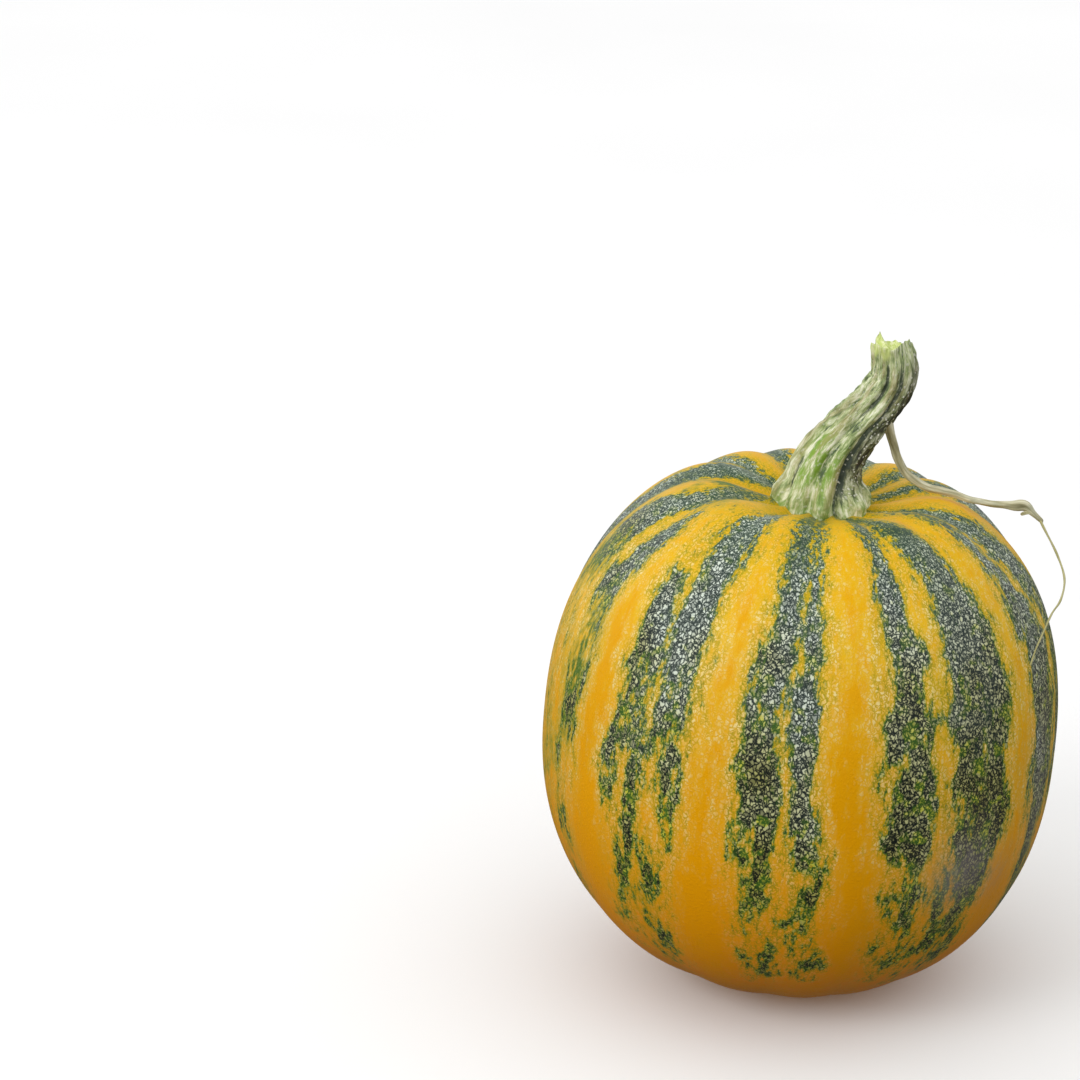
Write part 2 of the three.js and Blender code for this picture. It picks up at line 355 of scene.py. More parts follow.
def laid_grid(name, around, along):
    """A flat grid of that many cells, and each corner's share of the way round and of the way along."""
    bpy.ops.object.select_all(action="DESELECT")
    bpy.ops.mesh.primitive_grid_add(x_subdivisions=around, y_subdivisions=along, size=1)
    sheet = bpy.context.object
    sheet.name = name
    sheet.data.name = name
    flat = np.empty(len(sheet.data.vertices) * 3)
    sheet.data.vertices.foreach_get("co", flat)
    flat = flat.reshape(-1, 3)
    return sheet, flat[:, 0] + 0.5, flat[:, 1] + 0.5


def bumpiness(x, y, z, size):
    """Uneven bumps from about -1 to 1 of that size, the same each time."""
    return np.array([bumps.noise(Vector(place) / size) for place in zip(x, y, z)]) * 1.6


def note(piece, name, values):
    """Keeps a number or a direction for each vertex, for the piece's material to read."""
    kind = "FLOAT_VECTOR" if values.ndim == 2 else "FLOAT"
    stored = piece.data.attributes.new(name, kind, "POINT")
    stored.data.foreach_set("vector" if values.ndim == 2 else "value", values.astype(np.float32).ravel())


def closed_up(piece, points, merge_distance):
    """Puts the vertices in place, joins the grid's edges where they meet, and turns its faces outward."""
    piece.data.vertices.foreach_set("co", points.astype(np.float32).ravel())
    piece.data.update()
    bpy.ops.object.select_all(action="DESELECT")
    piece.select_set(True)
    bpy.context.view_layer.objects.active = piece
    bpy.ops.object.mode_set(mode="EDIT")
    bpy.ops.mesh.select_all(action="SELECT")
    bpy.ops.mesh.remove_doubles(threshold=merge_distance)
    bpy.ops.mesh.normals_make_consistent(inside=False)
    bpy.ops.object.mode_set(mode="OBJECT")
    bpy.ops.object.shade_smooth()
    return piece


def rod(name, route_points, cells, radius_at, first_side, cap):
    """A closed rod along a route, its ends rounded over the share cap of its length. radius_at takes
    shares of the length and turns."""
    around, along = cells
    piece, turn_share, share = laid_grid(name, around, along)
    rows = np.round(share * along).astype(int)
    route, directions = evenly_along(route_points, along + 1)
    sides = steady_sides(directions, first_side)
    turns = turn_share * 2 * np.pi
    from_end = np.minimum(share, 1 - share)
    closing = np.sqrt(np.clip(1 - (1 - np.clip(from_end / cap, 0, 1)) ** 2, 0, 1))
    reach = radius_at(share, turns) * closing
    other = np.cross(directions, sides)
    points = route[rows] + sides[rows] * (reach * np.cos(turns))[:, None]
    points += other[rows] * (reach * np.sin(turns))[:, None]
    length = np.linalg.norm(np.diff(route, axis=0), axis=1).sum()
    thickness = np.median(reach)
    note(piece, "fibre", np.stack([
        np.cos(turns) * thickness, np.sin(turns) * thickness, share * length,
    ], axis=1))
    return closed_up(piece, points, MERGE_DISTANCE)


# ---------------------------------------------------------------- material tools

def add_node(tree, kind, sockets=None, stops=None, **settings):
    """Adds a node with its settings. sockets holds a value, another node's output, or another node,
    which stands for its first output, for each input."""
    made = tree.nodes.new("ShaderNode" + kind)
    for name, value in settings.items():
        setattr(made, name, value)
    for socket, value in (sockets or {}).items():
        if isinstance(value, bpy.types.Node):
            value = value.outputs[0]
        if isinstance(value, bpy.types.NodeSocket):
            tree.links.new(value, made.inputs[socket])
        else:
            made.inputs[socket].default_value = value
    for index, (position, colour) in enumerate(stops or []):
        if index > 1:
            made.color_ramp.elements.new(position)
        made.color_ramp.elements[index].position = position
        made.color_ramp.elements[index].color = linear(colour)
    return made


def new_material(name):
    """An empty material with its output node."""
    material = bpy.data.materials.new(name)
    material.use_nodes = True
    material.node_tree.nodes.clear()
    return material, material.node_tree, add_node(material.node_tree, "OutputMaterial")


# Sockets of a Mix node that mixes colours.
FACTOR, FIRST, SECOND, MIXED = 0, 6, 7, 2


def pumpkin_rind():
    """Ripe oil-pumpkin rind: a hard waxy skin, orange-yellow, with dark green stripes under a net of pale
    cells. Grown, not finished, so its gloss is broad and its edges of colour are ragged."""
    material, tree, out = new_material("waxy oil pumpkin rind")
    skin = add_node(tree, "Attribute", attribute_name="skin").outputs["Vector"]
    stripe, green, rubbed, down, scar = (
        add_node(tree, "Attribute", attribute_name=name).outputs["Fac"]
        for name in ("stripe", "green", "rubbed", "down", "scar"))

    # Ragged edges: long blotches about 10 mm wide, and teeth about 3 mm wide.
    drawn_out = add_node(tree, "VectorMath", {0: skin, 1: (1, 1, 0.42)}, operation="MULTIPLY")
    blotches = add_node(tree, "TexNoise", {"Vector": drawn_out, "Scale": 1 / BLOTCH_SIZE, "Detail": 2.0,
                                           "Roughness": 0.55}).outputs["Fac"]
    teeth = add_node(tree, "TexNoise", {"Vector": drawn_out, "Scale": 1 / TOOTH_SIZE, "Detail": 3.0,
                                        "Roughness": 0.7}).outputs["Fac"]
    blotch_shift = add_node(tree, "MapRange", {"Value": blotches, "From Min": 0.25, "From Max": 0.75,
                                               "To Min": -5.2, "To Max": 5.2}, clamp=False)
    teeth_shift = add_node(tree, "MapRange", {"Value": teeth, "From Min": 0.25, "From Max": 0.75,
                                              "To Min": -4.0, "To Max": 4.0}, clamp=False)
    shifts = add_node(tree, "Math", {0: blotch_shift, 1: teeth_shift}, operation="ADD")
    calm = add_node(tree, "MapRange", {"Value": down, "From Min": 0.08, "From Max": 0.46,
                                       "To Min": 0.12, "To Max": 1.2})
    inside = add_node(tree, "Math", {0: shifts, 1: calm, 2: stripe}, operation="MULTIPLY_ADD")

    # Near the crown the edges run out in fine lines down the skin, and close to the dip they are calmer.
    far_drawn = add_node(tree, "VectorMath", {0: skin, 1: (1, 1, 0.09)}, operation="MULTIPLY")
    lines = add_node(tree, "TexNoise", {"Vector": far_drawn, "Scale": 1 / LINE_SPACING,
                                        "Detail": 2.0}).outputs["Fac"]
    line_shift = add_node(tree, "MapRange", {"Value": lines, "From Min": 0.3, "From Max": 0.7,
                                             "To Min": -3.4, "To Max": 3.0}, clamp=False)
    at_dip = add_node(tree, "MapRange", {"Value": down, "From Min": 0.06, "From Max": 0.16,
                                         "To Min": 0.3})
    by_crown = add_node(tree, "MapRange", {"Value": down, "From Min": 0.34, "From Max": 0.18})
    by_crown = add_node(tree, "Math", {0: at_dip, 1: by_crown}, operation="MULTIPLY")
    inside = add_node(tree, "Math", {0: line_shift, 1: by_crown, 2: inside}, operation="MULTIPLY_ADD")
    dark = add_node(tree, "MapRange", {"Value": inside, "From Min": -0.6, "From Max": 0.6},
                    interpolation_type="SMOOTHSTEP")
    fringe = add_node(tree, "MapRange", {"Value": inside, "From Min": -2.6, "From Max": -0.1},
                      interpolation_type="SMOOTHSTEP")

    # A net: pale cells about 1.7 mm wide, each a little bent and unlike the next, with dark lines between.
    bends = add_node(tree, "TexNoise", {"Vector": skin, "Scale": 1 / CELL_BEND_SIZE,
                                        "Detail": 1.0}).outputs["Color"]
    bent = add_node(tree, "VectorMath", {0: bends, 1: (CELL_BEND, CELL_BEND, CELL_BEND), 2: skin},
                    operation="MULTIPLY_ADD")
    slim = add_node(tree, "VectorMath", {0: bent, 1: (1, 1, 0.75)}, operation="MULTIPLY")
    cells = add_node(tree, "TexVoronoi", {"Vector": slim, "Scale": 1 / CELL_SIZE}).outputs["Color"]
    gaps = add_node(tree, "TexVoronoi", {"Vector": slim, "Scale": 1 / CELL_SIZE},
                    feature="DISTANCE_TO_EDGE").outputs["Distance"]
    filled = add_node(tree, "MapRange", {"Value": gaps, "From Min": 0.03, "From Max": 0.31},
                      interpolation_type="SMOOTHSTEP")
    paleness = add_node(tree, "MapRange", {"Value": cells, "From Min": 0.25, "From Max": 0.55,
                                           "To Min": 0.45})
    flecks = add_node(tree, "Math", {0: filled, 1: paleness}, operation="MULTIPLY")

    # Colours of the dark stripes: green at their edges and nearly black deep inside, greyed towards the
    # crown by a painted sheen. The cells are dim by the stem, palest above the girth, and yellower further
    # down and at the edges.
    patches = add_node(tree, "TexNoise", {"Vector": skin, "Scale": 1 / TINT_SIZE,
                                          "Detail": 2.0}).outputs["Fac"]
    depth = add_node(tree, "MapRange", {"Value": inside, "From Min": 0.0, "From Max": 6.0})
    dark_green = add_node(tree, "ValToRGB", {"Fac": depth},
                          stops=[(0.0, "#64842A"), (0.26, "#35521F"), (0.62, "#1E261C"),
                                 (1.0, "#161C1A")])
    fleck_down = add_node(tree, "MapRange", {"Value": patches, "From Min": 0.3, "From Max": 0.7,
                                             "To Min": -0.12, "To Max": 0.12})
    fleck_down = add_node(tree, "Math", {0: down, 1: fleck_down}, operation="ADD")
    fleck_colour = add_node(tree, "ValToRGB", {"Fac": fleck_down},
                            stops=[(0.03, "#66764F"), (0.15, "#C2CEBA"), (0.27, "#DBE5D6"),
                                   (0.42, "#D0D2A2"), (0.6, "#ADA95C")])
    # Painted sheen: the dark stripes turn a paler blue-grey towards the crown, as a gloss lit by the sky
    # would.
    painted_sheen = add_node(tree, "MapRange", {"Value": fleck_down, "From Min": 0.5, "From Max": 0.24,
                                        "To Max": 0.4})
    at_edge = add_node(tree, "MapRange", {"Value": inside, "From Min": 3.2, "From Max": 0.3,
                                          "To Max": 0.75})
    at_stem = add_node(tree, "MapRange", {"Value": down, "From Min": 0.24, "From Max": 0.1,
                                          "To Max": 0.65})

    # Islands where the cells have turned ripe and only the net between them is still green.
    islands = add_node(tree, "TexNoise", {"Vector": skin, "Scale": 1 / ISLAND_SIZE,
                                          "Detail": 2.0}).outputs["Fac"]
    turned = add_node(tree, "MapRange", {"Value": islands, "From Min": 0.57, "From Max": 0.66,
                                         "To Max": 0.75})
    turned = add_node(tree, "Math", {0: turned, 1: calm}, operation="MULTIPLY", use_clamp=True)
    for share, tint in ((painted_sheen, "#4C5B57"), (turned, "#3F6424"), (at_stem, "#2F5236")):
        dark_green = add_node(tree, "Mix", {FACTOR: share, FIRST: dark_green, SECOND: linear(tint)},
                              data_type="RGBA").outputs[MIXED]
    for share, tint in ((at_edge, "#C2B94E"), (green, "#A8A252"), (turned, "#C9C840")):
        fleck_colour = add_node(tree, "Mix", {FACTOR: share, FIRST: fleck_colour, SECOND: linear(tint)},
                                data_type="RGBA").outputs[MIXED]
    netted = add_node(tree, "Mix", {FACTOR: flecks, FIRST: dark_green, SECOND: fleck_colour},
                      data_type="RGBA").outputs[MIXED]

    # Colours between the stripes: deeper orange towards the base, pale flecks near the stripes' edges.
    colour = add_node(tree, "ValToRGB", {"Fac": down},
                      stops=[(0.1, "#E0AE02"), (0.3, "#E8B604"), (0.5, "#E5A602"),
                             (0.8, "#F28E00")])
    streaks = add_node(tree, "TexNoise", {"Vector": drawn_out, "Scale": 1 / WARM_STREAK_SIZE,
                                          "Detail": 2.0}).outputs["Fac"]
    warm = add_node(tree, "MapRange", {"Value": streaks, "From Min": 0.4, "From Max": 0.7,
                                       "To Max": 0.35})
    crest = add_node(tree, "MapRange", {"Value": inside, "From Min": -8.0, "From Max": -14.0,
                                        "To Max": 0.45})
    near_edge = add_node(tree, "MapRange", {"Value": inside, "From Min": -13.0, "From Max": -5.0})
    under_crown = add_node(tree, "MapRange", {"Value": down, "From Min": 0.14, "From Max": 0.28,
                                              "To Min": 0.15, "To Max": 0.95})
    over_base = add_node(tree, "MapRange", {"Value": down, "From Min": 0.64, "From Max": 0.44,
                                            "To Min": 0.2, "To Max": 0.95})
    high_up = add_node(tree, "Math", {0: under_crown, 1: over_base}, operation="MINIMUM")
    streaked = add_node(tree, "MapRange", {"Value": lines, "From Min": 0.4, "From Max": 0.58,
                                           "To Min": 0.35})
    pale = add_node(tree, "MapRange", {"Value": flecks, "To Min": 0.12})
    for share in (near_edge, high_up, streaked):
        pale = add_node(tree, "Math", {0: pale, 1: share}, operation="MULTIPLY")

    # Unripe green: a haze in patches, a thin fringe along the stripes, and the net that spills past them.
    fringe_part = add_node(tree, "Math", {0: fringe, 1: 0.5}, operation="MULTIPLY")
    spill = add_node(tree, "MapRange", {"Value": inside, "From Min": -7.0, "From Max": -0.5,
                                        "To Max": 0.8})
    spill = add_node(tree, "MapRange", {"Value": filled, "From Min": 0.0, "From Max": 0.6,
                                        "To Min": spill, "To Max": 0.0})
    fringe_part = add_node(tree, "Math", {0: fringe_part, 1: spill}, operation="MAXIMUM")
    dabs = add_node(tree, "MapRange", {"Value": shifts, "From Min": -4.0, "From Max": 3.5,
                                       "To Min": 0.2, "To Max": 1.6}, clamp=False)
    haze = add_node(tree, "Math", {0: green, 1: dabs}, operation="MULTIPLY", use_clamp=True)
    greening = add_node(tree, "Math", {0: fringe_part, 1: haze}, operation="MAXIMUM")
    unripe = add_node(tree, "ValToRGB", {"Fac": greening},
                      stops=[(0.2, "#A79C18"), (0.6, "#838C1C"), (0.95, "#4F6E20")])

    # Grey dust where the skin was rubbed, and cork on the blossom scar underneath.
    dust = add_node(tree, "MapRange", {"Value": teeth, "From Min": 0.35, "From Max": 0.65,
                                       "To Min": 0.45, "To Max": 0.85})
    dust = add_node(tree, "Math", {0: rubbed, 1: dust}, operation="MULTIPLY")
    cork = add_node(tree, "ValToRGB", {"Fac": teeth}, stops=[(0.35, "#8A6A43"), (0.7, "#C2A172")])
    for share, layer in (
        (warm, linear("#E39A06")), (crest, linear("#E99C00")), (pale, linear("#F0DC96")),
        (greening, unripe), (dark, netted), (dust, linear("#8F8886")), (scar, cork),
    ):
        colour = add_node(tree, "Mix", {FACTOR: share, FIRST: colour, SECOND: layer},
                          data_type="RGBA").outputs[MIXED]

    # Wax: a broad soft gloss, a little duller on the flecks and the cork.
    dull = add_node(tree, "Math", {0: flecks, 1: scar}, operation="MAXIMUM")
    roughness = add_node(tree, "MapRange", {"Value": dull, "To Min": 0.36, "To Max": 0.5})
    lumps = add_node(tree, "Math", {0: flecks, 1: patches}, operation="ADD")
    bump = add_node(tree, "Bump", {"Strength": 0.5, "Distance": RIND_RELIEF, "Height": lumps})
    shader = add_node(tree, "BsdfPrincipled", {"Base Color": colour, "Roughness": roughness, "Normal": bump,
                                               "IOR": 1.45, "Specular IOR Level": 0.1})
    tree.links.new(shader.outputs[0], out.inputs[0])
    return material


def stalk_fibre():
    """Half-dried pumpkin stalk: fibrous, matt, sage and cream on its ridges, with dark grooves, still
    green low down at the left, darkened by painted shade and warty down the right side, and pale pith at
    the torn tip."""
    material, tree, out = new_material("half-dried ridged stalk")
    fibre = add_node(tree, "Attribute", attribute_name="fibre").outputs["Vector"]
    ridge, painted_shade, pith, lush = (
        add_node(tree, "Attribute", attribute_name=name).outputs["Fac"]
        for name in ("ridge", "painted_shade", "pith", "lush"))

    drawn_out = add_node(tree, "VectorMath", {0: fibre, 1: (1, 1, 0.26)}, operation="MULTIPLY")
    streaks = add_node(tree, "TexNoise", {"Vector": drawn_out, "Scale": 1 / FIBRE_SPACING, "Detail": 4.0,
                                          "Roughness": 0.68}).outputs["Fac"]
    broad = add_node(tree, "TexNoise", {"Vector": drawn_out, "Scale": 1 / BROAD_STREAK_SIZE,
                                        "Detail": 3.0}).outputs["Fac"]
    colour = add_node(tree, "ValToRGB", {"Fac": streaks},
                      stops=[(0.34, "#4A5A34"), (0.45, "#8C9D64"), (0.54, "#C0C994"),
                             (0.64, "#EDEED2")])
    greener = add_node(tree, "MapRange", {"Value": streaks, "From Min": 0.6, "From Max": 0.44})
    fresh = add_node(tree, "Math", {0: lush, 1: greener}, operation="MULTIPLY")
    fresh = add_node(tree, "Math", {0: fresh, 1: broad}, operation="MULTIPLY")
    fresh = add_node(tree, "MapRange", {"Value": fresh, "From Min": 0.12, "From Max": 0.5,
                                        "To Max": 0.95})
    # Painted shade: the right side of the stalk is darkened, a little less on its palest streaks.
    dimmed = add_node(tree, "MapRange", {"Value": streaks, "From Min": 0.7, "From Max": 0.42,
                                         "To Min": 0.3})
    shade = add_node(tree, "Math", {0: painted_shade, 1: dimmed}, operation="MULTIPLY")
    tan = add_node(tree, "MapRange", {"Value": broad, "From Min": 0.53, "From Max": 0.64, "To Max": 0.5})
    uneven = add_node(tree, "MapRange", {"Value": streaks, "From Min": 0.3, "From Max": 0.7,
                                         "To Min": -0.4, "To Max": 0.4})
    level = add_node(tree, "Math", {0: ridge, 1: uneven}, operation="ADD")
    groove = add_node(tree, "MapRange", {"Value": level, "From Min": 0.4, "From Max": -0.1,
                                         "To Max": 0.85},
                      interpolation_type="SMOOTHSTEP")
    warts = add_node(tree, "TexVoronoi", {"Vector": fibre, "Scale": 1 / WART_SPACING}).outputs["Distance"]
    wart = add_node(tree, "MapRange", {"Value": warts, "From Min": 0.32, "From Max": 0.18})
    wart_place = add_node(tree, "MapRange", {"Value": painted_shade, "From Min": 0.0, "From Max": 0.5,
                                             "To Min": 0.3, "To Max": 0.95})
    wart = add_node(tree, "Math", {0: wart, 1: wart_place}, operation="MULTIPLY")
    pith_colour = add_node(tree, "ValToRGB", {"Fac": streaks},
                           stops=[(0.3, "#A9BC5C"), (0.5, "#D5E08E"), (0.65, "#F2F3CC")])
    for share, layer in (
        (fresh, linear("#7FA62A")), (shade, linear("#2C2A1C")), (tan, linear("#A69465")),
        (groove, linear("#3E4A40")), (wart, linear("#EAEADA")), (pith, pith_colour),
    ):
        colour = add_node(tree, "Mix", {FACTOR: share, FIRST: colour, SECOND: layer},
                          data_type="RGBA").outputs[MIXED]

    # Matt bark, with its streaks and warts standing up a little.
    relief = add_node(tree, "Math", {0: streaks, 1: wart}, operation="ADD")
    bump = add_node(tree, "Bump", {"Strength": 0.8, "Distance": BARK_RELIEF, "Height": relief})
    roughness = add_node(tree, "MapRange", {"Value": streaks, "From Min": 0.3, "From Max": 0.7,
                                            "To Min": 0.72, "To Max": 0.52})
    shader = add_node(tree, "BsdfPrincipled", {"Base Color": colour, "Roughness": roughness,
                                               "Normal": bump})
    tree.links.new(shader.outputs[0], out.inputs[0])
    return material


def dried_tendril():
    """Dried pumpkin tendril: matt straw-coloured fibre with darker lines along it, greener where thin."""
    material, tree, out = new_material("dried tendril fibre")
    fibre = add_node(tree, "Attribute", attribute_name="fibre").outputs["Vector"]
    thin = add_node(tree, "Attribute", attribute_name="thin").outputs["Fac"]
    drawn_out = add_node(tree, "VectorMath", {0: fibre, 1: (1, 1, 0.1)}, operation="MULTIPLY")
    streaks = add_node(tree, "TexNoise", {"Vector": drawn_out, "Scale": 1 / TENDRIL_FIBRE_SPACING,
                                          "Detail": 3.0}).outputs["Fac"]
    stains = add_node(tree, "TexNoise", {"Vector": fibre, "Scale": 1 / STAIN_SIZE,
                                         "Detail": 2.0}).outputs["Fac"]
    colour = add_node(tree, "ValToRGB", {"Fac": streaks},
                      stops=[(0.32, "#8B8560"), (0.5, "#BDB792"), (0.66, "#DEDABD")])
    stain = add_node(tree, "MapRange", {"Value": stains, "From Min": 0.5, "From Max": 0.7, "To Max": 0.6})
    greener = add_node(tree, "Math", {0: thin, 1: 0.6}, operation="MULTIPLY")
    for share, tint in ((stain, "#94987A"), (greener, "#A8A25C")):
        colour = add_node(tree, "Mix", {FACTOR: share, FIRST: colour, SECOND: linear(tint)},
                          data_type="RGBA").outputs[MIXED]
    bump = add_node(tree, "Bump", {"Strength": 0.8, "Distance": TENDRIL_RELIEF, "Height": streaks})
    roughness = add_node(tree, "MapRange", {"Value": streaks, "From Min": 0.3, "From Max": 0.7,
                                            "To Min": 0.75, "To Max": 0.55})
    shader = add_node(tree, "BsdfPrincipled", {"Base Color": colour, "Roughness": roughness,
                                               "Normal": bump})
    tree.links.new(shader.outputs[0], out.inputs[0])
    return material


def white_paper():
    """Matt white background paper, with a faint unevenness."""
    material, tree, out = new_material("white background paper")
    place = add_node(tree, "TexCoord").outputs["Object"]
    grain = add_node(tree, "TexNoise", {"Vector": place, "Scale": 3.0, "Detail": 2.0}).outputs["Fac"]
    colour = add_node(tree, "ValToRGB", {"Fac": grain}, stops=[(0.3, "#F8F8F8"), (0.7, "#FBFBFB")])
    shader = add_node(tree, "BsdfPrincipled", {"Base Color": colour, "Roughness": 0.9})
    tree.links.new(shader.outputs[0], out.inputs[0])
    return material


# ---------------------------------------------------------------- the pieces

def stripe_depth(azimuth, latitude, reach):
    """How far inside a dark stripe each place is, in millimetres, and under 0 outside. reach is the
    distance in millimetres that one degree of direction spans there."""
    runs = [np.array(places, float) for places in STRIPES.values()]
    for middle, half, breaks_at in BACK_STRIPES:
        middle = (middle + 180) % 360 - 180
        runs.append(np.array([
            (82, middle - half * 0.4, middle + half * 0.4, 0.5),
            (66, middle - half * 0.65, middle + half * 0.7, 0.9),
            (44, middle - half, middle + half * 0.9, 1.0),
            (breaks_at + 10, middle - half * 0.9, middle + half, 0.9),
            (breaks_at - 4, middle - half * 0.9, middle + half, 0.2),
            (breaks_at - 14, middle - half * 0.7, middle + half * 0.8, 0.4),
            (breaks_at - 28, middle - half * 0.6, middle + half * 0.8, -0.1),
            (breaks_at - 44, middle - half * 0.6, middle + half * 0.5, -0.3),
            (breaks_at - 56, middle - half * 0.4, middle + half * 0.4, -1.0),
        ]))
    deepest = np.full_like(azimuth, FAR_OUTSIDE)
    for run in runs:
        run = run[::-1]
        left, right, cover = (np.interp(latitude, run[:, 0], run[:, i]) for i in (1, 2, 3))
        middle = (left + right) / 2
        off_middle = np.abs((azimuth - middle + 180) % 360 - 180)
        within = ((right - left) / 2 - off_middle) * reach
        ending = np.clip(run[0, 0] - latitude, 0, None) * ENDING_PER_DEGREE
        deepest = np.maximum(deepest, np.minimum(within, SOLID_DEPTH * cover - ending))
    return deepest


def patch_amount(patches, azimuth, latitude):
    """How strongly the patches cover each place of the skin, from 0 to 1."""
    amount = np.zeros_like(azimuth)
    for direction, level, half_width, half_height, strength in patches:
        off = (azimuth - direction + 180) % 360 - 180
        share = (off / half_width) ** 2 + ((latitude - level) / half_height) ** 2
        amount = np.maximum(amount, strength * np.exp(-share))
    return amount


def grow_fruit():
    """The ribbed fruit, from a grid wrapped round its axis from the base to the dip."""
    around, along = FRUIT_CELLS
    piece, turn_share, share = laid_grid("pumpkin_fruit", around, along)
    azimuth = turn_share * 360 - 180
    azimuth[turn_share > 1 - 0.5 / around] = -180
    latitude = share * 180 - 90
    turn = np.radians(azimuth)
    radius, rise = outline(np.radians(latitude))
    swell = SWELL * (np.sin(3 * turn + 0.6) * np.cos(4 * np.radians(latitude)) +
                     0.6 * np.sin(7 * turn + 2.1) * np.cos(np.radians(latitude)))
    swell = swell * np.cos(np.radians(latitude)) ** 2
    points = skin_points(azimuth, latitude, swell)
    points[:, 2] = np.maximum(points[:, 2], 0)

    # The skin laid out as a cloth would be: round it by direction, down it by distance from the dip.
    fine = np.radians(np.linspace(-90, 90, OUTLINE_STEPS))
    fine_radius, fine_rise = outline(fine)
    steps = np.hypot(np.diff(fine_radius), np.diff(fine_rise))
    travelled = np.concatenate([[0], np.cumsum(steps)])
    down_length = travelled[-1] - np.interp(np.radians(latitude), fine, travelled)
    spread = GIRTH_RADIUS * (np.clip(radius, 0, None) / GIRTH_RADIUS) ** CROWDING
    note(piece, "skin", np.stack([np.cos(turn) * spread, np.sin(turn) * spread, down_length], axis=1))
    reach = np.maximum(radius, LEAST_STRIPE_RADIUS) * math.radians(1) / MM
    note(piece, "stripe", stripe_depth(azimuth, latitude, reach))
    note(piece, "green", patch_amount(GREEN_PATCHES, azimuth, latitude))
    note(piece, "rubbed", patch_amount(RUBBED_PATCHES, azimuth, latitude))
    note(piece, "down", down_length / travelled[-1])
    from_base = travelled[-1] - down_length
    note(piece, "scar", 1 - smooth(*SCAR_RADII, from_base + SCAR_WAVE * np.sin(5 * turn)))
    return closed_up(piece, points, 2 * MERGE_DISTANCE)


def stem_radius(share, turns):
    """The CAD stem's radius, for the places that meet it."""
    foot = np.exp(-share / STEM_TAPER)
    round_part = STEM_TIP_RADIUS + (STEM_FOOT_RADIUS - STEM_TIP_RADIUS) * foot
    return round_part + (RIDGE_DEPTH + FOOT_LOBE_DEPTH * foot) * np.cos(STEM_RIDGES * turns)


def stem_line():
    """The points of the stem's route, from the middle of the dip."""
    dip = stood_up(np.array([[0, 0, outline(np.array([math.pi / 2]))[1][0]]]))[0]
    return np.array([dip + (out * STEM_REACH, 0, up * STEM_RISE) for out, up in STEM_ROUTE])


